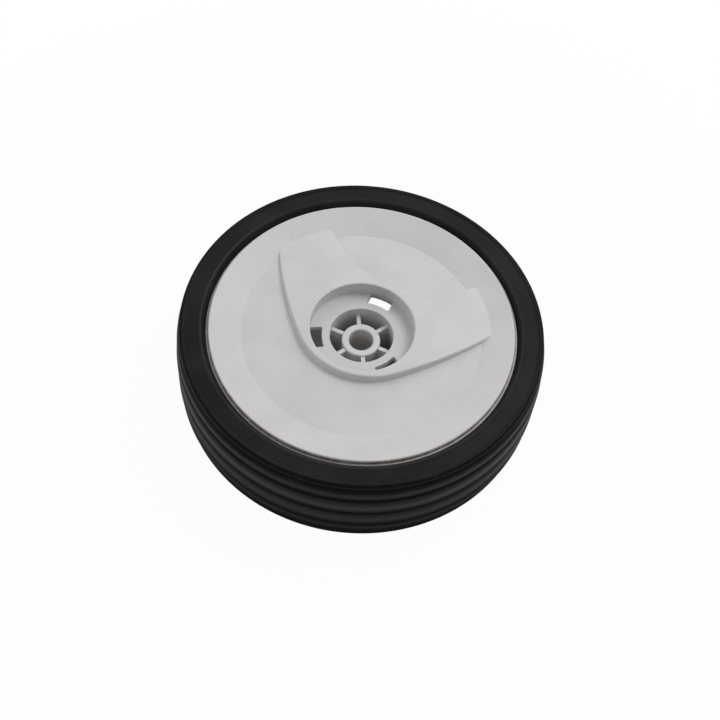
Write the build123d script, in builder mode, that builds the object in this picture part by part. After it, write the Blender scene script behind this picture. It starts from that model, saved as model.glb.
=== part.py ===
from build123d import *
import os
from math import cos, radians, sin

# Lawn mower wheel: a rubber tyre on a plastic wheel moulded in one piece.
#
# Millimetres, +Z up. The wheel lies on its tyre with the outer face up. The origin is on the
# axle's axis, in the plane that the tyre lies on. The raised panel on the face is symmetric
# about the YZ plane, with the gap between its two arms on the +Y side.

# Tyre
TYRE_DIAMETER = 180.0
TYRE_WIDTH = 48.0
TYRE_DEPTH = 19.5
OUTER_RIB_WIDTH = 8.7
OUTER_RIB_DROP = 0.6
GROOVE_DEPTH = 1.8
GROOVE_WIDTH = 4.4
SHOULDER_WIDTH = 3.7
SHOULDER_DROP = 1.8
SHOULDER_ROUND = 1.5
SHOULDER_HEIGHT = 2.0
LIP_WIDTH = 1.6
OUTER_LIP_INSET = 1.7
INNER_LIP_GAP = 2.4
INNER_LIP_CHAMFER = 0.5
SIDEWALL_RECESS = 0.3
SIDEWALL_SLOPE = 0.8

# Rim of the wheel, which holds the tyre in a channel between two flanges
RIM_SET_BACK = 1.25
FLANGE_HEIGHT = 4.9
FLANGE_THICKNESS = 2.5
RIM_WALL = 3.0

# Dished face
FACE_INSET = 0.95
FACE_STEP = 2.1
FACE_EDGE_CHAMFER = 0.6
FACE_EDGE_LAND = 1.0
CONE_WIDTH = 14.8
DISH_DEPTH = 4.85
FACE_WALL = 3.0

# Hub well, whose ring-shaped floor steps down to the recess around the hub
WELL_DIAMETER = 51.0
WELL_DEPTH = 7.85
WELL_WALL = 2.5
WELL_FLOOR = 3.0
WELL_LIP_CHAMFER = 0.4
FLOOR_WIDTH = 9.8
RECESS_DEPTH = 4.1
RECESS_WALL = 2.5
RECESS_SET_BACK = 6.0

# Slots in the floor of the well, beside the well's wall
SLOT_COUNT = 3
SLOT_WIDTH = 11.7
SLOT_REACH = 6.0
SLOT_ROUND = 0.8
FIRST_SLOT_ANGLE = 90.0

# Raised panel, whose top falls gently from the hub well to the ends of its arms
PANEL_SET_BACK = 0.5
ARM_CLIMB = 4.5
ARM_CORNER_ANGLE = 50.7
ARM_FLANK_ANGLE = 25.2
HEEL_ARC_ANGLE = 45.0
HEEL_RADIUS = 36.1
HEEL_RIM = 3.1
PANEL_DRAFT = 8.0
PANEL_EDGE_ROUND = 0.9
PANEL_WALL = 2.6

# Notch between the arms: its rim beside the well, and where its two curves meet, from there
NOTCH_RIM = 2.9
NOTCH_BEND_X = 11.0
NOTCH_BEND_Y = 2.2

# Hub
AXLE_BORE = 12.0
HUB_WALL = 3.5
HUB_SET_BACK = 2.0
HUB_CHAMFER = 0.4
BORE_CHAMFER = 0.5

# Ribs, some inside the recess and as many across the open back, on the same lines
RIB_COUNT = 6
HUB_RIB_THICKNESS = 2.0
HUB_RIB_SET_BACK = 0.7
BACK_RIB_THICKNESS = 2.2
BACK_RIB_SET_BACK = 8.0

# How far a joined feature runs into the wall that carries it
ROOT = 1.0

# Heights of the main faces
MID_PLANE = TYRE_WIDTH / 2
FACE_Z = TYRE_WIDTH - RIM_SET_BACK
DISH_Z = FACE_Z - DISH_DEPTH
FLANGE_Z = FACE_Z - FACE_STEP
BACK_FLANGE_Z = TYRE_WIDTH - FLANGE_Z
PANEL_Z = FACE_Z - PANEL_SET_BACK
WELL_Z = PANEL_Z - WELL_DEPTH
HUB_Z = WELL_Z - RECESS_DEPTH

# Radii of the rim and the face, worked inwards from the tread
TREAD_R = TYRE_DIAMETER / 2
CHANNEL_R = TREAD_R - TYRE_DEPTH
FLANGE_R = CHANNEL_R + FLANGE_HEIGHT
RIM_INNER_R = CHANNEL_R - RIM_WALL
FACE_R = FLANGE_R - FACE_INSET
CONE_R = FACE_R - FACE_EDGE_LAND
DISH_R = CONE_R - CONE_WIDTH
ARM_REACH = DISH_R + ARM_CLIMB

# Radii of the well, the recess and the hub
WELL_R = WELL_DIAMETER / 2
WELL_OUTER_R = WELL_R + WELL_WALL
RECESS_R = WELL_R - FLOOR_WIDTH
RECESS_OUTER_R = RECESS_R + RECESS_WALL
BORE_R = AXLE_BORE / 2
HUB_R = BORE_R + HUB_WALL

# Slope of the cone between the dish and the edge of the face, and the panel's own gentle slope
CONE_SLOPE = DISH_DEPTH / CONE_WIDTH
CONE_WALL = FACE_WALL * (1 + CONE_SLOPE**2) ** 0.5
ARM_END_Z = DISH_Z + CONE_SLOPE * ARM_CLIMB
PANEL_SLOPE = (PANEL_Z - ARM_END_Z) / (ARM_REACH - WELL_R)


def cone_z(radius):
    """Height of the face's cone at a radius."""
    return DISH_Z + CONE_SLOPE * (radius - DISH_R)


def panel_z(radius):
    """Height of the panel's top at a radius."""
    return PANEL_Z - PANEL_SLOPE * (radius - WELL_R)


def polar(radius, angle):
    """Point at a radius and an angle from the X axis."""
    return (radius * cos(radians(angle)), radius * sin(radians(angle)))


def near(shape, radius, height):
    """Vertices of a section that lie at one radius and one height."""
    return shape.vertices().filter_by(
        lambda v: abs(abs(v.X) - radius) < 0.01 and abs(abs(v.Y) - height) < 0.01
    )


# Tyre: four flat ribs between two shoulders, drawn about the mid-plane and turned round the axle
half_width = TYRE_WIDTH / 2
outer_groove = half_width - SHOULDER_WIDTH
inner_groove = outer_groove - OUTER_RIB_WIDTH
outer_rib_r = TREAD_R - OUTER_RIB_DROP
shoulder_r = TREAD_R - SHOULDER_DROP
middle_root = (TREAD_R - GROOVE_DEPTH, 0)
inner_root = ((TREAD_R + outer_rib_r) / 2 - GROOVE_DEPTH, inner_groove)
outer_root = ((outer_rib_r + shoulder_r) / 2 - GROOVE_DEPTH, outer_groove)
outer_lip_r = shoulder_r - OUTER_LIP_INSET - LIP_WIDTH / 2
inner_lip_r = FLANGE_R + INNER_LIP_GAP
recess_height = half_width - SIDEWALL_RECESS
channel_height = FLANGE_Z - FLANGE_THICKNESS - MID_PLANE

with BuildPart() as tyre:
    tyre_plane = Plane(origin=(0, 0, MID_PLANE), x_dir=(1, 0, 0), z_dir=(0, -1, 0))
    with BuildSketch(tyre_plane) as tyre_section:
        with BuildLine():
            Polyline(
                middle_root,
                (TREAD_R, GROOVE_WIDTH / 2),
                (TREAD_R, inner_groove - GROOVE_WIDTH / 2),
                inner_root,
                (outer_rib_r, inner_groove + GROOVE_WIDTH / 2),
                (outer_rib_r, outer_groove - GROOVE_WIDTH / 2),
                outer_root,
                (shoulder_r, half_width - SHOULDER_HEIGHT),
                (shoulder_r, half_width),
                (outer_lip_r, half_width),
                (outer_lip_r - SIDEWALL_SLOPE, recess_height),
                (inner_lip_r + LIP_WIDTH + SIDEWALL_SLOPE, recess_height),
                (inner_lip_r + LIP_WIDTH, half_width),
                (inner_lip_r, half_width),
                (FLANGE_R, FLANGE_Z - MID_PLANE),
                (FLANGE_R, channel_height),
                (CHANNEL_R, channel_height),
                (CHANNEL_R, 0),
            )
            mirror(about=Plane.XZ)
        make_face()
        fillet(near(tyre_section, shoulder_r, half_width), SHOULDER_ROUND)
        chamfer(near(tyre_section, inner_lip_r, half_width), INNER_LIP_CHAMFER)
    revolve(axis=Axis.Z)

# Outline of the raised panel's foot: a round heel, two flanks that bow out from it, and a notch
# of tangent curves. It runs on past the ends of the arms, where the panel's turned top trims it.
heel_y = -WELL_R - HEEL_RIM
heel_turn = polar(HEEL_RADIUS, HEEL_ARC_ANGLE - 90)
heel_end = (heel_turn[0], heel_y + HEEL_RADIUS + heel_turn[1])
arm_end_r = ARM_REACH + ROOT * 3
flank_end = polar(arm_end_r, ARM_FLANK_ANGLE)
arm_end = polar(arm_end_r, (ARM_FLANK_ANGLE + ARM_CORNER_ANGLE) / 2)
arm_corner = polar(arm_end_r, ARM_CORNER_ANGLE)
notch_y = WELL_R + NOTCH_RIM
notch_bend = (NOTCH_BEND_X, notch_y + NOTCH_BEND_Y)

with BuildSketch() as panel_outline:
    with BuildLine():
        heel_arc = TangentArc((0, heel_y), heel_end, tangent=(1, 0))
        TangentArc(heel_end, flank_end, tangent=heel_arc % 1)
        ThreePointArc(flank_end, arm_end, arm_corner)
        notch_curve = TangentArc((0, notch_y), notch_bend, tangent=(1, 0))
        TangentArc(notch_bend, arm_corner, tangent=notch_curve % 1)
        mirror(about=Plane.YZ)
    make_face()

# Panel: the outline raised round the mouth of the well, to a top that slopes down until the
# face's cone swallows it
with BuildPart() as raised_panel:
    with BuildSketch(Plane.XY.offset(DISH_Z - ROOT)):
        add(panel_outline.sketch)
    extrude(amount=TYRE_WIDTH - DISH_Z)
    panel_walls = raised_panel.faces().filter_by(lambda f: abs(f.normal_at().Z) < 0.5)
    draft(panel_walls, Plane.XY.offset(DISH_Z - ROOT), PANEL_DRAFT)
    with BuildSketch(Plane.XZ) as panel_section:
        with BuildLine():
            Polyline(
                (WELL_R, DISH_Z - ROOT),
                (ARM_REACH + ROOT, DISH_Z - ROOT),
                (ARM_REACH + ROOT, panel_z(ARM_REACH + ROOT)),
                (WELL_R, PANEL_Z),
                close=True,
            )
        make_face()
        chamfer(near(panel_section, WELL_R, PANEL_Z), WELL_LIP_CHAMFER)
    revolve(axis=Axis.Z, mode=Mode.INTERSECT)
    panel_top = raised_panel.faces().filter_by(GeomType.CONE).sort_by(SortBy.AREA)[-1]
    fillet(panel_top.outer_wire().edges(), PANEL_EDGE_ROUND)

# Hollows behind the arms, which keep the moulding's wall even under the panel
with BuildSketch() as rib_lines:
    with PolarLocations(0, RIB_COUNT):
        Rectangle(FACE_R, BACK_RIB_THICKNESS, align=(Align.MIN, Align.CENTER))

with BuildSketch() as arm_outlines:
    add(panel_outline.sketch)
    offset(amount=-PANEL_WALL, kind=Kind.INTERSECTION)
    Circle(WELL_OUTER_R, mode=Mode.SUBTRACT)
    add(rib_lines.sketch, mode=Mode.SUBTRACT)

with BuildPart() as arm_hollows:
    with BuildSketch(Plane.XY.offset(DISH_Z - FACE_WALL)):
        add(arm_outlines.faces().sort_by(SortBy.AREA)[-2:])
    extrude(amount=TYRE_WIDTH - DISH_Z, taper=PANEL_DRAFT)
    with BuildSketch(Plane.XZ):
        with BuildLine():
            Polyline(
                (0, DISH_Z - FACE_WALL),
                (ARM_REACH + ROOT, DISH_Z - FACE_WALL),
                (ARM_REACH + ROOT, panel_z(ARM_REACH + ROOT) - FACE_WALL),
                (0, panel_z(0) - FACE_WALL),
                close=True,
            )
        make_face()
    revolve(axis=Axis.Z, mode=Mode.INTERSECT)

# One rib of the open back, from the wall of the recess to the rim
rib_top_z = DISH_Z - FACE_WALL / 2
rib_end_r = RIM_INNER_R + ROOT
with BuildPart() as back_rib:
    with BuildSketch(Plane.XZ):
        with BuildLine():
            Polyline(
                (RECESS_OUTER_R - ROOT, RECESS_SET_BACK),
                (rib_end_r, BACK_RIB_SET_BACK),
                (rib_end_r, cone_z(rib_end_r) - CONE_WALL / 2),
                (DISH_R, rib_top_z),
                (WELL_OUTER_R - WELL_WALL / 2, rib_top_z),
                (WELL_OUTER_R - WELL_WALL / 2, WELL_Z - WELL_FLOOR / 2),
                (RECESS_OUTER_R - ROOT, WELL_Z - WELL_FLOOR / 2),
                close=True,
            )
        make_face()
    extrude(amount=BACK_RIB_THICKNESS / 2, both=True)

# Hub tube, with a chamfer at each end of its bore
with BuildPart() as hub:
    with BuildSketch(Plane.XZ) as hub_section:
        with BuildLine():
            Polyline(
                (BORE_R, HUB_SET_BACK),
                (HUB_R, HUB_SET_BACK),
                (HUB_R, HUB_Z),
                (BORE_R, HUB_Z),
                close=True,
            )
        make_face()
        for end in (HUB_SET_BACK, HUB_Z):
            chamfer(near(hub_section, BORE_R, end), BORE_CHAMFER)
            chamfer(near(hub_section, HUB_R, end), HUB_CHAMFER)
    revolve(axis=Axis.Z)

# Wheel body: the turned section of face, well, recess and rim, and everything joined to it
with BuildPart() as wheel_body:
    with BuildSketch(Plane.XZ) as body_section:
        with BuildLine():
            Polyline(
                (RECESS_R, RECESS_SET_BACK),
                (RECESS_OUTER_R, RECESS_SET_BACK),
                (RECESS_OUTER_R, WELL_Z - WELL_FLOOR),
                (WELL_OUTER_R, WELL_Z - WELL_FLOOR),
                (WELL_OUTER_R, DISH_Z - FACE_WALL),
                (DISH_R, DISH_Z - FACE_WALL),
                (RIM_INNER_R, cone_z(RIM_INNER_R) - CONE_WALL),
                (RIM_INNER_R, BACK_FLANGE_Z),
                (FLANGE_R, BACK_FLANGE_Z),
                (FLANGE_R, BACK_FLANGE_Z + FLANGE_THICKNESS),
                (CHANNEL_R, BACK_FLANGE_Z + FLANGE_THICKNESS),
                (CHANNEL_R, FLANGE_Z - FLANGE_THICKNESS),
                (FLANGE_R, FLANGE_Z - FLANGE_THICKNESS),
                (FLANGE_R, FLANGE_Z),
                (FACE_R, FLANGE_Z),
                (FACE_R, FACE_Z),
                (CONE_R, FACE_Z),
                (DISH_R, DISH_Z),
                (WELL_R, DISH_Z),
                (WELL_R, WELL_Z),
                (RECESS_R, WELL_Z),
                close=True,
            )
        make_face()
        chamfer(near(body_section, FACE_R, FACE_Z), FACE_EDGE_CHAMFER)
    revolve(axis=Axis.Z)

    add(raised_panel.part)
    add(arm_hollows.part, mode=Mode.SUBTRACT)

    # Slots in the floor of the well
    with BuildSketch(Plane.XY.offset(WELL_Z)) as slots:
        with PolarLocations(0, SLOT_COUNT, start_angle=FIRST_SLOT_ANGLE):
            Rectangle(WELL_DIAMETER, SLOT_WIDTH, align=(Align.MIN, Align.CENTER))
        Circle(WELL_R - SLOT_REACH, mode=Mode.SUBTRACT)
        Circle(WELL_R, mode=Mode.INTERSECT)
        fillet(slots.vertices(), SLOT_ROUND)
    extrude(amount=-WELL_FLOOR, mode=Mode.SUBTRACT)

    # Ribs across the open back
    with PolarLocations(0, RIB_COUNT):
        add(back_rib.part)

    # Ribs between the hub and the wall of its recess
    with BuildSketch(Plane.XY.offset(RECESS_SET_BACK)):
        with PolarLocations((HUB_R + RECESS_R) / 2, RIB_COUNT):
            Rectangle(RECESS_R - HUB_R + ROOT * 2, HUB_RIB_THICKNESS)
    extrude(amount=HUB_Z - HUB_RIB_SET_BACK - RECESS_SET_BACK)

    add(hub.part)

os.makedirs("parts", exist_ok=True)
tyre.part.label = "tyre"
wheel_body.part.label = "wheel_body"
export_step(tyre.part, "parts/tyre.step")
export_step(wheel_body.part, "parts/wheel_body.step")
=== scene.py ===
"""A lawn mower wheel in a white studio: its rubber tyre, its moulded plastic body and the lights."""

import logging
from dataclasses import dataclass, field
from enum import Enum

import bpy
import numpy as np
from mathutils import Matrix, Vector


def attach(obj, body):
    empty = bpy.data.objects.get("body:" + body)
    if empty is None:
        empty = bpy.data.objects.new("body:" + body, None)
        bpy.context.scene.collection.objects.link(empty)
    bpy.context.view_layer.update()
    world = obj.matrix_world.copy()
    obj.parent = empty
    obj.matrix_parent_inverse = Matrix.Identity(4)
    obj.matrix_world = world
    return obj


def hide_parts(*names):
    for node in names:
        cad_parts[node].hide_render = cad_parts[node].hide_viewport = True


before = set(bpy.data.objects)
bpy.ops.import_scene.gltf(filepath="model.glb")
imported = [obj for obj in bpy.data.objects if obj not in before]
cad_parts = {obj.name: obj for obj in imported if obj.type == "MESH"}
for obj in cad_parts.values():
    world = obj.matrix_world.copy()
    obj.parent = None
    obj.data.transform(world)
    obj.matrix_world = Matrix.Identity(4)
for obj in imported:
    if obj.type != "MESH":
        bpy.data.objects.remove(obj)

log = logging.getLogger("wheel")
MM = 0.001
# Linear red, green, blue and alpha.
Colour = tuple[float, float, float, float]
# Where a mask is 0 and where it is 1, in millimetres.
Edge = tuple[float, float]


class Slot(Enum):
    """The record's material slots, which have the names of the solids that wear them."""

    TYRE = "tyre"
    WHEEL_BODY = "wheel_body"


@dataclass(frozen=True)
class Cloud:
    """Noise whose contrast is raised, so that it runs from 0 to 1.

    Args:
        scale: Its cells per metre.
        low: The value of the noise that becomes 0.
        high: The value that becomes 1.
        detail: How many finer octaves it has.
        roughness: How strong they are.
    """

    scale: float
    low: float
    high: float
    detail: float = 2.0
    roughness: float = 0.5


@dataclass(frozen=True)
class Relief:
    """One layer of a surface's fine relief.

    Args:
        scale: Its cells or rings per metre.
        detail: How many finer octaves it has.
        strength: How much of it shows.
        depth: Its depth, in millimetres.
    """

    scale: float
    detail: float
    strength: float
    depth: float


class NodeGraph:
    """A material's node tree, with short calls for the nodes that the finishes share."""

    def __init__(self, name: str) -> None:
        """Starts an empty material.

        Args:
            name: The material's name.
        """
        self.material = bpy.data.materials.new(name)
        self.material.use_nodes = True
        self.tree = self.material.node_tree
        self.tree.nodes.clear()
        self.output = self.tree.nodes.new("ShaderNodeOutputMaterial")

    def feed(self, socket: bpy.types.NodeSocket, value: object) -> None:
        """Links a node's output to a socket, or writes a constant on it.

        Args:
            socket: The input to fill.
            value: An output socket, a number or a tuple.
        """
        if isinstance(value, bpy.types.NodeSocket):
            self.tree.links.new(value, socket)
        else:
            socket.default_value = value

    def node(self, kind: str, settings: dict[str, object] | None = None,
             **inputs: object) -> bpy.types.Node:
        """Adds a node.

        Args:
            kind: The node's type name, without its ShaderNode prefix.
            settings: Properties of the node itself.
            **inputs: Its input sockets, by name with underscores for spaces.

        Returns:
            The new node.
        """
        made = self.tree.nodes.new("ShaderNode" + kind)
        for key, value in (settings or {}).items():
            setattr(made, key, value)
        for key, value in inputs.items():
            self.feed(made.inputs[key.replace("_", " ")], value)
        return made

    def math(self, operation: str, first: object, second: object = 0.0,
             clamp: bool = False) -> bpy.types.NodeSocket:
        """Adds a Math node and returns its value.

        Args:
            operation: The Math node's operation.
            first: The first value.
            second: The second value.
            clamp: Whether the result is kept between 0 and 1.

        Returns:
            The result's socket.
        """
        made = self.tree.nodes.new("ShaderNodeMath")
        made.operation = operation
        made.use_clamp = clamp
        self.feed(made.inputs[0], first)
        self.feed(made.inputs[1], second)
        return made.outputs[0]

    def step(self, value: object, low: float, high: float) -> bpy.types.NodeSocket:
        """Smooth step of a value: 0 below low, 1 above high. High may be the smaller one.

        Args:
            value: The value that is mapped.
            low: Where the result is 0.
            high: Where the result is 1.

        Returns:
            The result's socket.
        """
        made = self.node("MapRange", {"interpolation_type": "SMOOTHSTEP"},
                         Value=value, From_Min=low, From_Max=high)
        return made.outputs["Result"]

    def mask(self, distance: object, edge: Edge) -> bpy.types.NodeSocket:
        """Smooth mask by a distance or a height.

        Args:
            distance: The measure that is mapped, in metres.
            edge: Where the mask is 0 and where it is 1, in millimetres.

        Returns:
            The mask's socket.
        """
        return self.step(distance, edge[0] * MM, edge[1] * MM)

    def times(self, first: object, second: object) -> bpy.types.NodeSocket:
        """Multiplies two values.

        Args:
            first: The first value.
            second: The second value.

        Returns:
            The product's socket.
        """
        return self.math("MULTIPLY", first, second)

    def mix(self, factor: object, first: object, second: object,
            blend: str = "MIX") -> bpy.types.NodeSocket:
        """Mixes two colours.

        Args:
            factor: The second colour's share.
            first: The first colour.
            second: The second colour.
            blend: The Mix node's blend type.

        Returns:
            The result's socket.
        """
        made = self.tree.nodes.new("ShaderNodeMix")
        made.data_type = "RGBA"
        made.blend_type = blend
        self.feed(made.inputs[0], factor)
        self.feed(made.inputs[6], first)
        self.feed(made.inputs[7], second)
        return made.outputs[2]

    def noise(self, where: object, scale: float, detail: float = 2.0,
              roughness: float = 0.5) -> bpy.types.NodeSocket:
        """Noise between 0 and 1 about 0.5.

        Args:
            where: The coordinates that it reads.
            scale: Its cells per metre.
            detail: How many finer octaves it has.
            roughness: How strong they are.

        Returns:
            The noise's value.
        """
        made = self.node("TexNoise", Vector=where, Scale=scale, Detail=detail, Roughness=roughness)
        return made.outputs["Fac"]

    def cloud(self, where: object, cloud: Cloud) -> bpy.types.NodeSocket:
        """Adds a noise whose contrast is raised.

        Args:
            where: The coordinates that it reads.
            cloud: What it is like.

        Returns:
            Its value, from 0 to 1.
        """
        noise = self.noise(where, cloud.scale, cloud.detail, cloud.roughness)
        return self.step(noise, cloud.low, cloud.high)

    def grain(self, where: object, layer: Relief,
              under: bpy.types.NodeSocket | None = None) -> bpy.types.NodeSocket:
        """Adds one layer of relief whose height is a noise.

        Args:
            where: The coordinates that it reads.
            layer: What it is like.
            under: The normal that it lies on. None is the surface's own.

        Returns:
            The new normal's socket.
        """
        return self.bump(self.noise(where, layer.scale, layer.detail), layer, under)

    def bump(self, height: object, layer: Relief,
             under: bpy.types.NodeSocket | None = None) -> bpy.types.NodeSocket:
        """Adds one layer of relief.

        Args:
            height: The relief's height, between 0 and 1.
            layer: Its strength and its depth.
            under: The normal that it lies on. None is the surface's own.

        Returns:
            The new normal's socket.
        """
        made = self.node("Bump", Strength=layer.strength, Distance=layer.depth * MM, Height=height)
        if under is not None:
            self.feed(made.inputs["Normal"], under)
        return made.outputs["Normal"]

    def place(self) -> tuple[bpy.types.NodeSocket, bpy.types.NodeSocket, bpy.types.NodeSocket]:
        """Object coordinates, with the distance from the axle and the height taken from them.

        Returns:
            The position, its distance from the Z axis and its height, in metres.
        """
        where = self.node("TexCoord").outputs["Object"]
        parts = self.node("SeparateXYZ", Vector=where)
        across = self.times(parts.outputs["X"], parts.outputs["X"])
        along = self.times(parts.outputs["Y"], parts.outputs["Y"])
        radius = self.math("SQRT", self.math("ADD", across, along))
        return where, radius, parts.outputs["Z"]

    def shade(self, **inputs: object) -> bpy.types.Material:
        """Ends the tree with a Principled shader.

        Args:
            **inputs: The shader's sockets, by name with underscores for spaces.

        Returns:
            The finished material.
        """
        shader = self.node("BsdfPrincipled", **inputs)
        self.tree.links.new(shader.outputs["BSDF"], self.output.inputs["Surface"])
        return self.material


@dataclass(frozen=True)
class MouldedPlastic:
    """Pale grey moulded plastic with a fine spark-eroded grain, painted shade deep in its hub's
    recess and painted light on the hub's end.

    Args:
        colour: The plastic's own colour.
        grime: The brown dust that sits on the ledge beside the tyre.
        shade: The colour of the painted shade, which the plastic darkens towards deep in the hub's
            recess.
        painted_tip_light: The paler colour of the painted light on the hub's end and the tips of its
            ribs.
        scuffed: The plastic in the scuffs.
        roughness: The grain's mean roughness.
        worn_edge: Radius of the moulding's worn corners, in millimetres.
        ledge: Radius at which the face ends and the grime starts.
        wiped: Radius outside which some of the grime is wiped off, from the tyre inwards.
        recess: Radius inside which the hub's recess takes the painted shade, from its wall inwards.
        depth: Height below which the painted shade lies, from the top down.
        tip_reach: Radius of the tips that take the painted light, from the recess inwards.
        tip_height: Height of those tips.
        flow: The clouds that the melt's flow leaves, some 20 mm wide.
        speckle: The speckle on top of them.
        flow_tints: What the colour is multiplied by where the clouds are 0 and where they are 1.
        speckle_tints: The same for the speckle.
        patches: The patches of the grime.
        least_grime: How much grime lies between the patches.
        patch_grime: How much more lies in them.
        left: How much of the grime is left there.
        recess_shading: How much of the painted shade's colour the deepest corners take.
        tip_lighting: How much of the painted light's colour the tips take.
        scuff: The noise that the scuffs are cut from, along its stretched coordinates.
        scuff_scale: Cells per metre of those coordinates.
        scuff_turn: Their turn about the axle, in radians.
        scuff_share: How much of their colour the scuffs take.
        flow_roughness: How much rougher the clouds are.
        scuff_roughness: How much rougher the scuffs are, for all of their colour.
        grain: The eroded grain, half a millimetre wide.
        waves: The slow waves of shrinkage.
        index: The plastic's index of refraction.
    """

    colour: Colour = (0.565, 0.552, 0.556, 1.0)
    grime: Colour = (0.17, 0.14, 0.115, 1.0)
    shade: Colour = (0.43, 0.40, 0.37, 1.0)
    painted_tip_light: Colour = (0.64, 0.625, 0.615, 1.0)
    scuffed: Colour = (0.66, 0.65, 0.64, 1.0)
    roughness: float = 0.46
    worn_edge: float = 0.5
    ledge: Edge = (73.9, 74.25)
    wiped: Edge = (74.95, 74.4)
    recess: Edge = (15.6, 9.0)
    depth: Edge = (32.2, 24.0)
    tip_reach: Edge = (15.65, 15.4)
    tip_height: Edge = (33.1, 33.5)
    flow: Cloud = Cloud(48.0, 0.3, 0.7, 3.0)
    speckle: Cloud = Cloud(950.0, 0.25, 0.75)
    flow_tints: tuple[Colour, Colour] = ((0.955, 0.965, 0.97, 1.0), (1.03, 1.02, 1.015, 1.0))
    speckle_tints: tuple[Colour, Colour] = ((0.97, 0.97, 0.97, 1.0), (1.025, 1.025, 1.025, 1.0))
    patches: Cloud = Cloud(260.0, 0.30, 0.62, 4.0, 0.65)
    least_grime: float = 0.4
    patch_grime: float = 0.45
    left: float = 0.5
    recess_shading: float = 0.7
    tip_lighting: float = 0.8
    scuff: Cloud = Cloud(1.0, 0.70, 0.76, 1.0)
    scuff_scale: tuple[float, float, float] = (30.0, 420.0, 90.0)
    scuff_turn: float = 0.7
    scuff_share: float = 0.10
    flow_roughness: float = 0.08
    scuff_roughness: float = 1.2
    grain: Relief = Relief(1700.0, 2.0, 0.16, 0.06)
    waves: Relief = Relief(55.0, 1.0, 0.25, 0.25)
    index: float = 1.48

    def material(self) -> bpy.types.Material:
        """Builds the node tree.

        Returns:
            The finished material.
        """
        g = NodeGraph("moulded_plastic")
        where, radius, height = g.place()
        # Colour: clouds from the melt's flow, and a fine speckle on top.
        flow = g.cloud(where, self.flow)
        warm = g.mix(flow, *self.flow_tints)
        fine = g.mix(g.cloud(where, self.speckle), *self.speckle_tints)
        tint = g.mix(1.0, g.mix(1.0, self.colour, warm, "MULTIPLY"), fine, "MULTIPLY")
        # Painted shade: the plastic darkens towards a warm grey deep in the hub's recess.
        recess_shade = g.times(g.mask(radius, self.recess), g.mask(height, self.depth))
        recess_shaded = g.mix(g.times(recess_shade, self.recess_shading), tint, self.shade)
        # Painted light: the hub's end and the tips of its ribs are painted paler.
        tips = g.times(g.mask(radius, self.tip_reach), g.mask(height, self.tip_height))
        painted_tip_light = g.mix(g.times(tips, self.tip_lighting), recess_shaded, self.painted_tip_light)
        # Thin scuffs, stretched along one direction.
        stretched = g.node("Mapping", Vector=where, Scale=self.scuff_scale,
                           Rotation=(0.0, 0.0, self.scuff_turn)).outputs["Vector"]
        scuffs = g.times(g.cloud(stretched, self.scuff), self.scuff_share)
        worn = g.mix(scuffs, painted_tip_light, self.scuffed)
        # Grime on the flange's ledge, outside the step of the face: patchy, and thin at the tyre.
        amount = g.math("ADD", g.times(g.cloud(where, self.patches), self.patch_grime),
                        self.least_grime)
        left = g.math("ADD", g.times(g.mask(radius, self.wiped), 1.0 - self.left), self.left)
        ledge = g.times(g.times(g.mask(radius, self.ledge), left), amount)
        colour = g.mix(ledge, worn, self.grime)
        rough = g.math("ADD", g.times(flow, self.flow_roughness),
                       g.math("ADD", g.times(scuffs, self.scuff_roughness), self.roughness))
        # Relief: the grain and the waves, on corners that are worn round.
        corners = g.node("Bevel", {"samples": 6}, Radius=self.worn_edge * MM).outputs["Normal"]
        grain = g.grain(where, self.grain, corners)
        waves = g.grain(where, self.waves, grain)
        return g.shade(Base_Color=colour, Roughness=rough, Normal=waves, IOR=self.index)


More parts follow.
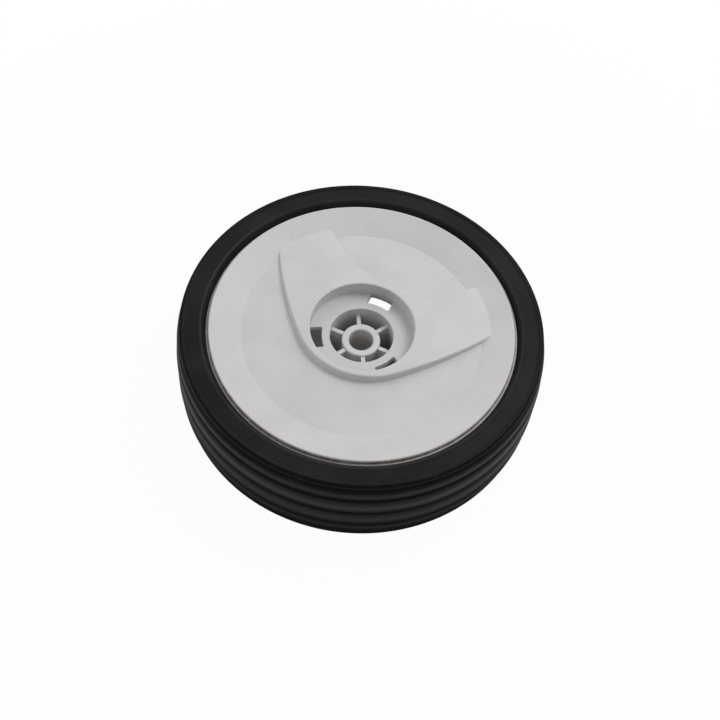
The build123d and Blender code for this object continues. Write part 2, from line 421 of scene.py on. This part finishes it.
@dataclass(frozen=True)
class TyreRubber:
    """Black moulded rubber, dull on the sidewall and polished along the crests of its ribs, with
    painted shade in its grooves and painted light on its crests.

    Args:
        colour: The rubber's own colour.
        bloom: The grey film that it sweats out.
        groove_shade: The near-black colour of the painted shade in the grooves.
        dust: What settles in the grooves.
        roughness: Mean roughness of the moulded skin.
        specular: How much the skin mirrors, where 0.5 is a clean dielectric.
        polish: How much of the mould's polish the lip beside the face keeps.
        scrubbed: How much the ground has polished the crests of the ribs.
        polish_roughness: Roughness of what is polished.
        sidewall: Radius inside which the bloom is full, from the tread inwards.
        band_middle: Height of the middle groove's band of painted shade, in millimetres.
        inner_band: Height of the inner grooves' bands of painted shade above and below that one.
        outer_band: Height of the outer grooves' bands of painted shade above and below it.
        band: Half the width of a band of painted shade, where it ends and where it is full.
        band_reach: Radius outside which the bands of painted shade show.
        crest: Radius of the ribs' crests.
        lip_outside: Radius of the polished lip's outer side, from outside.
        lip_inside: Radius of its inner side, from inside.
        clouds: The slow clouds of the bloom.
        fine: The fine ones.
        cloud_share: How much of the bloom the slow clouds bring.
        fine_share: How much the fine ones bring.
        tread_bloom: How much of the sidewall's bloom the tread keeps.
        crest_light: How much of the bloom's paler colour the crests take, as painted light.
        patches: The patches of dust.
        groove_dust: How much of the dust's colour they take.
        film_roughness: How much rougher the bloom is.
        grain: The leathery moulded grain.
        marks: The turning marks of the mould, as rings.
        ring_waver: How much the rings waver.
        ring_waver_scale: How fine that is.
        waves: The slow unevenness of the rubber.
        index: The rubber's index of refraction.
    """

    colour: Colour = (0.0105, 0.0105, 0.0110, 1.0)
    bloom: Colour = (0.024, 0.024, 0.0255, 1.0)
    groove_shade: Colour = (0.0035, 0.0035, 0.004, 1.0)
    dust: Colour = (0.032, 0.029, 0.026, 1.0)
    roughness: float = 0.40
    specular: float = 0.055
    polish: float = 0.16
    scrubbed: float = 0.11
    polish_roughness: float = 0.2
    sidewall: Edge = (88.3, 86.8)
    band_middle: float = 25.8
    inner_band: float = 11.6
    outer_band: float = 20.3
    band: Edge = (3.9, 1.9)
    band_reach: Edge = (86.4, 87.0)
    crest: Edge = (88.6, 89.2)
    lip_outside: Edge = (78.7, 78.3)
    lip_inside: Edge = (77.0, 77.4)
    clouds: Cloud = Cloud(38.0, 0.32, 0.72, 4.0, 0.6)
    fine: Cloud = Cloud(620.0, 0.35, 0.75, 3.0)
    cloud_share: float = 0.5
    fine_share: float = 0.2
    tread_bloom: float = 0.65
    crest_light: float = 0.8
    patches: Cloud = Cloud(150.0, 0.55, 0.75, 3.0)
    groove_dust: float = 0.25
    film_roughness: float = 0.16
    grain: Relief = Relief(1200.0, 3.0, 0.20, 0.08)
    marks: Relief = Relief(430.0, 1.0, 0.08, 0.05)
    ring_waver: float = 0.6
    ring_waver_scale: float = 2.0
    waves: Relief = Relief(85.0, 2.0, 0.30, 0.35)
    index: float = 1.45

    def painted_groove_shade(self, g: NodeGraph, radius: bpy.types.NodeSocket,
                   height: bpy.types.NodeSocket) -> bpy.types.NodeSocket:
        """The painted shade of each groove: a dark band which reaches onto the lower edge of the rib
        above it.

        Args:
            g: The material's nodes.
            radius: The distance from the axle, in metres.
            height: The height, in metres.

        Returns:
            The bands' mask.
        """
        level = g.math("ABSOLUTE", g.math("SUBTRACT", height, self.band_middle * MM))
        inner = g.math("ABSOLUTE", g.math("SUBTRACT", level, self.inner_band * MM))
        outer = g.math("ABSOLUTE", g.math("SUBTRACT", level, self.outer_band * MM))
        nearest = g.math("MINIMUM", level, g.math("MINIMUM", inner, outer))
        return g.times(g.mask(nearest, self.band), g.mask(radius, self.band_reach))

    def material(self) -> bpy.types.Material:
        """Builds the node tree.

        Returns:
            The finished material.
        """
        g = NodeGraph("tyre_rubber")
        where, radius, height = g.place()
        film = g.math("ADD", g.times(g.cloud(where, self.clouds), self.cloud_share),
                      g.times(g.cloud(where, self.fine), self.fine_share))
        # The bloom is full on the sidewall and the lips, and thinner on the tread.
        side = g.times(g.mask(radius, self.sidewall), 1.0 - self.tread_bloom)
        skin = g.mix(g.times(film, g.math("ADD", side, self.tread_bloom)), self.colour, self.bloom)
        # Painted shade: the grooves are painted near black, in bands that reach onto the rib above,
        # with patches of dust in them.
        groove = self.painted_groove_shade(g, radius, height)
        # Painted light: the crests between the bands of painted shade take some of the bloom's paler
        # colour.
        crest = g.times(g.mask(radius, self.crest), g.math("SUBTRACT", 1.0, groove))
        grey = g.mix(g.times(crest, self.crest_light), skin, self.bloom)
        black = g.mix(groove, grey, self.groove_shade)
        patch = g.times(g.cloud(where, self.patches), self.groove_dust)
        colour = g.mix(g.times(groove, patch), black, self.dust)
        # The mould's polish is left on the corner of the lip, and the ground's on the ribs.
        lip = g.times(g.mask(radius, self.lip_outside), g.mask(radius, self.lip_inside))
        polish = g.math("ADD", g.times(lip, self.polish), g.times(crest, self.scrubbed))
        rough = g.math("ADD", self.roughness, g.times(film, self.film_roughness))
        # Relief: the grain, the rings and the waves.
        rings = g.node("TexWave", {"wave_type": "RINGS", "rings_direction": "Z"}, Vector=where,
                       Scale=self.marks.scale, Detail=self.marks.detail,
                       Distortion=self.ring_waver, Detail_Scale=self.ring_waver_scale)
        grain = g.grain(where, self.grain)
        marks = g.bump(rings.outputs["Fac"], self.marks, grain)
        waves = g.grain(where, self.waves, marks)
        return g.shade(Base_Color=colour, Roughness=rough, Normal=waves, IOR=self.index,
                       Specular_IOR_Level=self.specular, Coat_Weight=polish,
                       Coat_Roughness=self.polish_roughness)


@dataclass(frozen=True)
class WhiteSweep:
    """The studio's white table, which keeps a faint shadow of the wheel.

    Args:
        colour: The table's own colour.
        glow: How much of what the camera and the gloss see beside the wheel is plain white.
        fade: Distance from the axle at which the shadow starts to fade out, and at which
            only plain white is left, in millimetres, as are the two below.
        beside: Where the gloss starts to see the glow beside the tyre, and sees all of it.
        below: The same below the wheel, from the tyre inwards.
    """

    colour: Colour = (0.5, 0.5, 0.5, 1.0)
    glow: float = 0.97
    fade: Edge = (110.0, 400.0)
    beside: Edge = (91.0, 114.0)
    below: Edge = (84.0, 72.0)

    def material(self) -> bpy.types.Material:
        """Builds the node tree.

        Returns:
            The finished material.
        """
        g = NodeGraph("white_sweep")
        _, radius, _ = g.place()
        fade = g.mask(radius, self.fade)
        white = g.math("ADD", self.glow, g.times(fade, 1.0 - self.glow))
        ray = g.node("LightPath").outputs
        gloss = g.math("ADD", ray["Is Glossy Ray"], ray["Is Transmission Ray"], clamp=True)
        # The gloss sees none of it where the tyre stands, so a dark line is left there.
        aside = g.math("ADD", g.mask(radius, self.beside), g.mask(radius, self.below))
        seen = g.math("ADD", ray["Is Camera Ray"], g.times(gloss, aside), clamp=True)
        paper = g.node("BsdfDiffuse", Color=self.colour)
        plain = g.node("Emission", Color=(1.0, 1.0, 1.0, 1.0), Strength=1.0)
        blend = g.node("MixShader", Fac=g.times(seen, white))
        g.tree.links.new(paper.outputs[0], blend.inputs[1])
        g.tree.links.new(plain.outputs[0], blend.inputs[2])
        g.tree.links.new(blend.outputs[0], g.output.inputs["Surface"])
        return g.material


def new_piece(name: str, mesh: bpy.types.Mesh, material: bpy.types.Material) -> bpy.types.Object:
    """Makes an object of a mesh that already lies in place, riding on the wheel.

    Args:
        name: The piece's name.
        mesh: Its mesh, in metres in the part's own frame.
        material: Its material.

    Returns:
        The new object.
    """
    piece = bpy.data.objects.new(name, mesh)
    bpy.context.scene.collection.objects.link(piece)
    mesh.materials.clear()
    mesh.materials.append(material)
    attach(piece, "root")
    log.info("%s: %d faces", name, len(mesh.polygons))
    return piece


def arc(start: tuple[float, float], middle: tuple[float, float], end: tuple[float, float],
        count: int) -> np.ndarray:
    """Points on the circle through three points, from the first to the last.

    The centre c solves |c - start| = |c - middle| = |c - end|, and the points are
    c + R (cos t, sin t), with t even between the angles of the two ends.

    Args:
        start: The first point.
        middle: A point between them.
        end: The last point.
        count: How many points are made, both ends included.

    Returns:
        The points, as an array of count by 2.
    """
    a, b, c = (np.array(p, dtype=float) for p in (start, middle, end))
    rows = 2.0 * np.array([b - a, c - a])
    centre = np.linalg.solve(rows, np.array([b @ b - a @ a, c @ c - a @ a]))
    reach = np.linalg.norm(a - centre)
    angles = np.unwrap([np.arctan2(*(p - centre)[::-1]) for p in (a, b, c)])
    turn = np.linspace(angles[0], angles[2], count)
    return centre + reach * np.stack([np.cos(turn), np.sin(turn)], axis=1)


def rounded(corners: list[tuple[float, float, float]], count: int = 7) -> np.ndarray:
    """An open line whose corners are rounded by arcs that touch both of their sides.

    At a corner p with unit sides u and v towards its neighbours, the arc of radius r touches
    them at p + u r / tan(h) and p + v r / tan(h), with h half the angle between them, and its
    centre lies on their bisector at r / sin(h).

    Args:
        corners: The line's points as (x, y, radius), where radius 0 keeps a corner sharp.
        count: Points on each arc.

    Returns:
        The line's points, as an array of rows (x, y).
    """
    line = []
    for i, (x, y, radius) in enumerate(corners):
        p = np.array([x, y])
        if radius == 0.0 or i in (0, len(corners) - 1):
            line.append(p[None])
            continue
        u = np.array(corners[i - 1][:2]) - p
        v = np.array(corners[i + 1][:2]) - p
        u, v = u / np.linalg.norm(u), v / np.linalg.norm(v)
        half = 0.5 * np.arccos(np.clip(u @ v, -1.0, 1.0))
        bisector = (u + v) / np.linalg.norm(u + v)
        centre = p + bisector * radius / np.sin(half)
        line.append(arc(tuple(p + u * radius / np.tan(half)), tuple(centre - bisector * radius),
                        tuple(p + v * radius / np.tan(half)), count))
    return np.concatenate(line)


def split_long(line: np.ndarray, longest: float) -> np.ndarray:
    """Adds points on a line's long stretches, evenly along each.

    Args:
        line: The line's points.
        longest: The longest stretch that may stay.

    Returns:
        The line with its added points.
    """
    gaps = np.linalg.norm(np.diff(line, axis=0), axis=1)
    shares = np.maximum(1, np.ceil(gaps / longest)).astype(int)
    index = np.repeat(np.arange(len(gaps)), shares)
    first = np.cumsum(shares) - shares
    part = (np.arange(shares.sum()) - first[index]) / shares[index]
    inner = line[index] + (line[index + 1] - line[index]) * part[:, None]
    return np.concatenate([inner, line[-1:]])


def turned(name: str, section: np.ndarray, steps: int) -> bpy.types.Mesh:
    """A closed section carried once round the Z axis.

    Point (i, j) of the surface is (r_i cos a_j, r_i sin a_j, z_i), with (r_i, z_i) the
    section's points in order and a_j = 2 pi j / steps. Both ways round close on themselves.

    Args:
        name: The mesh's name.
        section: The section's points as rows (radius, height), anticlockwise.
        steps: How many copies of the section go round.

    Returns:
        The mesh, smooth shaded, with its faces pointing outwards.
    """
    turn = np.linspace(0.0, 2.0 * np.pi, steps, endpoint=False)
    radius, height = section[:, 0, None], section[:, 1, None]
    points = np.stack([radius * np.cos(turn), radius * np.sin(turn),
                       height * np.ones_like(turn)], axis=-1).reshape(-1, 3)
    rows = np.arange(len(section))[:, None] * steps
    next_rows = np.roll(rows, -1, axis=0)
    here = np.arange(steps)[None, :]
    ahead = np.roll(here, -1, axis=1)
    faces = np.stack([rows + here, rows + ahead, next_rows + ahead, next_rows + here],
                     axis=-1).reshape(-1, 4)
    mesh = bpy.data.meshes.new(name)
    mesh.vertices.add(len(points))
    mesh.vertices.foreach_set("co", points.ravel())
    mesh.loops.add(faces.size)
    mesh.loops.foreach_set("vertex_index", faces.ravel())
    mesh.polygons.add(len(faces))
    mesh.polygons.foreach_set("loop_start", np.arange(len(faces)) * 4)
    mesh.update(calc_edges=True)
    mesh.validate()
    mesh.shade_smooth()
    return mesh


@dataclass
class Tyre:
    """The rubber tyre: four ribs, two shoulders, and two lips round each sidewall.

    Args:
        diameter: Across the crests of the inner ribs, in millimetres, as are the sizes below.
        width: From sidewall to sidewall.
        middle: Height of the mid-plane.
        inner_groove: Height of the grooves between the inner and outer ribs, from the mid-plane.
        outer_groove: Height of the grooves beside the shoulders.
        outer_drop: How much lower the outer ribs' crests lie.
        groove_width: Width of a groove at its mouth.
        groove_depth: Depth of a groove.
        crest_round: Radius of the ribs' edges.
        root_round: Radius of the roots beside the outer ribs, and of the shoulders' inner corners.
        shoulder: Diameter of the shoulders.
        shoulder_height: Height of a shoulder's outer face.
        shoulder_round: Radius of its corner with the sidewall.
        outer_lip: Diameter of the outer lip's inner edge.
        outer_round: Radius of that edge.
        outer_slope: How far it slopes inwards.
        inner_lip: Diameter of the lip beside the wheel's face.
        lip_width: Width of that lip's flat.
        lip_slope: How far its outer edge slopes outwards.
        lip_round: Radius of its corner beside the face.
        lip_step: Height of the step at its outer edge.
        sunk: How deep the band between the lips lies at the outer lip.
        edge_round: Radius of the band's two edges.
        fine_round: Radius of the inner lip's outer corner.
        flange: Diameter of the wheel's flanges, which the tyre grips.
        flange_top: Height of the flanges' outer side above the mid-plane.
        flange_foot: Height of their inner side.
        channel: Diameter of the channel that it sits in.
        longest: The longest stretch of the section that isn't divided.
        steps: How many copies of the section go round.
        finish: The rubber.
    """

    diameter: float = 180.0
    width: float = 48.0
    middle: float = 24.0
    inner_groove: float = 11.6
    outer_groove: float = 20.3
    outer_drop: float = 0.6
    groove_width: float = 4.4
    groove_depth: float = 2.3
    crest_round: float = 3.6
    root_round: float = 0.4
    shoulder: float = 176.4
    shoulder_height: float = 2.0
    shoulder_round: float = 1.45
    outer_lip: float = 172.4
    outer_round: float = 0.5
    outer_slope: float = 0.8
    inner_lip: float = 155.6
    lip_width: float = 1.5
    lip_slope: float = 0.4
    lip_round: float = 0.75
    lip_step: float = 0.15
    sunk: float = 0.7
    edge_round: float = 0.6
    fine_round: float = 0.3
    flange: float = 150.8
    flange_top: float = 20.65
    flange_foot: float = 18.15
    channel: float = 141.0
    longest: float = 1.1
    steps: int = 320
    finish: TyreRubber = field(default_factory=TyreRubber)

    def half_section(self) -> np.ndarray:
        """The section above the mid-plane, from the middle groove over the sidewall to the channel.

        It is one line with rounded corners: soft-edged crests between V-shaped grooves, the
        shoulder, the two lips with the shallow band between them, and the seat on the rim.

        Returns:
            Rows of (radius, height above the mid-plane), in millimetres.
        """
        crest, half, mouth = self.diameter / 2, self.width / 2, self.groove_width / 2
        outer, shoulder = crest - self.outer_drop, self.shoulder / 2
        inner_lip, outer_lip = self.inner_lip / 2, self.outer_lip / 2
        flat_end = inner_lip + self.lip_width
        inner_root = (crest + outer) / 2 - self.groove_depth
        outer_root = (outer + shoulder) / 2 - self.groove_depth
        edge, root = self.crest_round, self.root_round
        return rounded([
            (crest - self.groove_depth, -mouth, 0.0),
            (crest - self.groove_depth, 0.0, 0.0),
            (crest, mouth, edge),
            (crest, self.inner_groove - mouth, edge),
            (inner_root, self.inner_groove, root),
            (outer, self.inner_groove + mouth, edge),
            (outer, self.outer_groove - mouth, edge),
            (outer_root, self.outer_groove, root),
            (shoulder, half - self.shoulder_height, root),
            (shoulder, half, self.shoulder_round),
            (outer_lip, half, self.outer_round),
            (outer_lip - self.outer_slope, half - self.sunk, self.edge_round),
            (flat_end + self.lip_slope, half - self.lip_step, self.edge_round),
            (flat_end, half, self.fine_round),
            (inner_lip, half, self.lip_round),
            (self.flange / 2, self.flange_top, 0.0),
            (self.flange / 2, self.flange_foot, 0.0),
            (self.channel / 2, self.flange_foot, 0.0),
        ])[1:]

    def section(self) -> np.ndarray:
        """The whole closed section, anticlockwise, in metres.

        Returns:
            Rows of (radius, height).
        """
        upper = split_long(self.half_section(), self.longest)
        lower = upper[::-1] * (1.0, -1.0)
        line = np.concatenate([lower[:-1], upper])
        return (line + (0.0, self.middle)) * MM

    def dress(self) -> bpy.types.Object:
        """Makes the tyre and puts it in the solid's place.

        Returns:
            The tyre's object.
        """
        mesh = turned("tyre_rubber", self.section(), self.steps)
        piece = new_piece("tyre_rubber", mesh, self.finish.material())
        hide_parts("tyre")
        return piece


@dataclass
class WheelBody:
    """The plastic wheel: face, raised panel, hub well, ribs and rim, moulded as one piece.

    Args:
        node: The solid that the moulding is, by the name that it shares with its slot.
        finish: The plastic.
    """

    node: Slot = Slot.WHEEL_BODY
    finish: MouldedPlastic = field(default_factory=MouldedPlastic)

    def dress(self) -> bpy.types.Object:
        """Gives the solid its plastic. Its shape and its shading normals are kept as they are.

        Returns:
            The moulding's object.
        """
        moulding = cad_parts[self.node.value]
        material = self.finish.material()
        for slot in moulding.material_slots:
            slot.material = material
        log.info("%s: %d faces", self.node.value, len(moulding.data.polygons))
        return moulding


@dataclass
class Lamp:
    """A soft rectangular lamp that looks at the wheel.

    Args:
        name: The lamp's name.
        bearing: Its direction from the wheel, in degrees from +X towards +Y.
        lift: Its direction above the table, in degrees.
        distance: How far off it stands, in metres.
        size: Its width and height, in metres.
        power: Its power, in watts.
        aim: Height of the point that it looks at, in metres.
    """

    name: str
    bearing: float
    lift: float
    distance: float
    size: tuple[float, float]
    power: float
    aim: float = 0.03

    def hang(self) -> bpy.types.Object:
        """Puts the lamp up.

        Returns:
            The lamp's object.
        """
        light = bpy.data.lights.new(self.name, "AREA")
        light.shape = "RECTANGLE"
        light.size, light.size_y = self.size
        light.energy = self.power
        lamp = bpy.data.objects.new(self.name, light)
        bpy.context.scene.collection.objects.link(lamp)
        turn, rise = np.radians(self.bearing), np.radians(self.lift)
        away = Vector((np.cos(turn) * np.cos(rise), np.sin(turn) * np.cos(rise), np.sin(rise)))
        lamp.location = Vector((0.0, 0.0, self.aim)) + away * self.distance
        lamp.rotation_euler = away.to_track_quat("Z", "Y").to_euler()
        log.info("lamp %s: %.1f W", self.name, self.power)
        return lamp


@dataclass
class Studio:
    """The white table, the lamps round it and the camera.

    Args:
        ambient: Strength of the grey light from all sides.
        table: Half the table's width, in metres.
        bearing: The camera's direction from the wheel, in degrees from +X towards +Y.
        lift: The camera's height above the table, in degrees.
        roll: How far the camera leans about its own line of sight, in degrees.
        distance: From the middle of the wheel's face to the camera, in metres.
        aim_height: Height of the middle of the wheel's face, in metres.
        focal: The lens, in millimetres.
        film: Width of the camera's frame, in millimetres.
        shift: How far the lens is shifted, as a share of the frame's width.
        clip: Nearest and farthest distance that the camera sees, in metres.
        lamps: The lamps.
    """

    ambient: float = 0.44
    table: float = 4.0
    bearing: float = -70.0
    lift: float = 55.49
    roll: float = 5.79
    distance: float = 0.6095
    aim_height: float = 0.04675
    focal: float = 63.1
    film: float = 36.0
    shift: tuple[float, float] = (-0.00344, -0.04811)
    clip: tuple[float, float] = (0.01, 50.0)
    lamps: tuple[Lamp, ...] = (
        Lamp("key", 55.0, 57.0, 1.2, (0.45, 0.45), 4.6),
        Lamp("back", 110.0, 42.0, 1.3, (1.2, 0.7), 1.7),
        Lamp("back_left", 165.0, 35.0, 1.2, (0.8, 0.7), 1.5),
        Lamp("back_right", 55.0, 35.0, 1.2, (0.8, 0.7), 2.7),
        Lamp("left", -160.0, 20.0, 1.1, (0.7, 0.5), 1.6),
    )

    def table_top(self) -> bpy.types.Object:
        """Lays the white table, level with the tyre's lower sidewall.

        Returns:
            The table's object.
        """
        side = self.table
        corners = [(-side, -side, 0.0), (side, -side, 0.0), (side, side, 0.0), (-side, side, 0.0)]
        mesh = bpy.data.meshes.new("table_top")
        mesh.from_pydata(corners, [], [(0, 1, 2, 3)])
        mesh.materials.append(WhiteSweep().material())
        table = bpy.data.objects.new("table_top", mesh)
        bpy.context.scene.collection.objects.link(table)
        return table

    def surround(self) -> bpy.types.World:
        """The light from all sides: grey for the wheel, plain white for the camera and the gloss.

        Returns:
            The world.
        """
        world = bpy.data.worlds.new("surround")
        world.use_nodes = True
        tree = world.node_tree
        tree.nodes.clear()
        output = tree.nodes.new("ShaderNodeOutputWorld")
        grey = tree.nodes.new("ShaderNodeBackground")
        white = tree.nodes.new("ShaderNodeBackground")
        blend = tree.nodes.new("ShaderNodeMixShader")
        ray = tree.nodes.new("ShaderNodeLightPath").outputs
        gloss = tree.nodes.new("ShaderNodeMath")
        seen = tree.nodes.new("ShaderNodeMath")
        seen.use_clamp = True
        grey.inputs["Strength"].default_value = self.ambient
        white.inputs["Strength"].default_value = 1.0
        for background in (grey, white):
            background.inputs["Color"].default_value = (1.0, 1.0, 1.0, 1.0)
        tree.links.new(ray["Is Glossy Ray"], gloss.inputs[0])
        tree.links.new(ray["Is Transmission Ray"], gloss.inputs[1])
        tree.links.new(ray["Is Camera Ray"], seen.inputs[0])
        tree.links.new(gloss.outputs[0], seen.inputs[1])
        tree.links.new(seen.outputs[0], blend.inputs[0])
        tree.links.new(grey.outputs[0], blend.inputs[1])
        tree.links.new(white.outputs[0], blend.inputs[2])
        tree.links.new(blend.outputs[0], output.inputs["Surface"])
        bpy.context.scene.world = world
        return world

    def camera(self) -> bpy.types.Object:
        """Sets the camera where the photograph was taken from.

        With e the lift and w the roll, the line of sight is (0, cos e, -sin e), and the
        frame's own axes are (1, 0, 0) and (0, sin e, cos e) turned by w, all turned about Z
        from the -Y direction to the camera's bearing.

        Returns:
            The camera's object.
        """
        e, w = np.radians(self.lift), np.radians(self.roll)
        ahead = Vector((0.0, np.cos(e), -np.sin(e)))
        side, up = Vector((1.0, 0.0, 0.0)), Vector((0.0, np.sin(e), np.cos(e)))
        across = side * np.cos(w) + up * np.sin(w)
        upward = up * np.cos(w) - side * np.sin(w)
        turn = Matrix.Rotation(np.radians(self.bearing + 90.0), 3, "Z")
        axes = Matrix((turn @ across, turn @ upward, turn @ -ahead)).transposed()
        spot = turn @ (-ahead * self.distance) + Vector((0.0, 0.0, self.aim_height))
        lens = bpy.data.cameras.new("photo_camera")
        lens.sensor_width = self.film
        lens.lens = self.focal
        lens.shift_x, lens.shift_y = self.shift
        lens.clip_start, lens.clip_end = self.clip
        camera = bpy.data.objects.new("photo_camera", lens)
        bpy.context.scene.collection.objects.link(camera)
        camera.matrix_world = Matrix.Translation(spot) @ axes.to_4x4()
        bpy.context.scene.camera = camera
        return camera

    def build(self) -> None:
        """Sets up the table, the lamps, the surround and the camera."""
        self.camera()
        self.table_top()
        self.surround()
        for lamp in self.lamps:
            lamp.hang()
        bpy.context.scene.view_settings.view_transform = "Standard"


def main() -> None:
    """Builds the studio and the wheel."""
    logging.basicConfig(level=logging.INFO, format="%(name)s: %(message)s")
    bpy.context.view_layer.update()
    Studio().build()
    Tyre().dress()
    WheelBody().dress()
    bpy.context.view_layer.update()


if __name__ == "__main__":
    main()
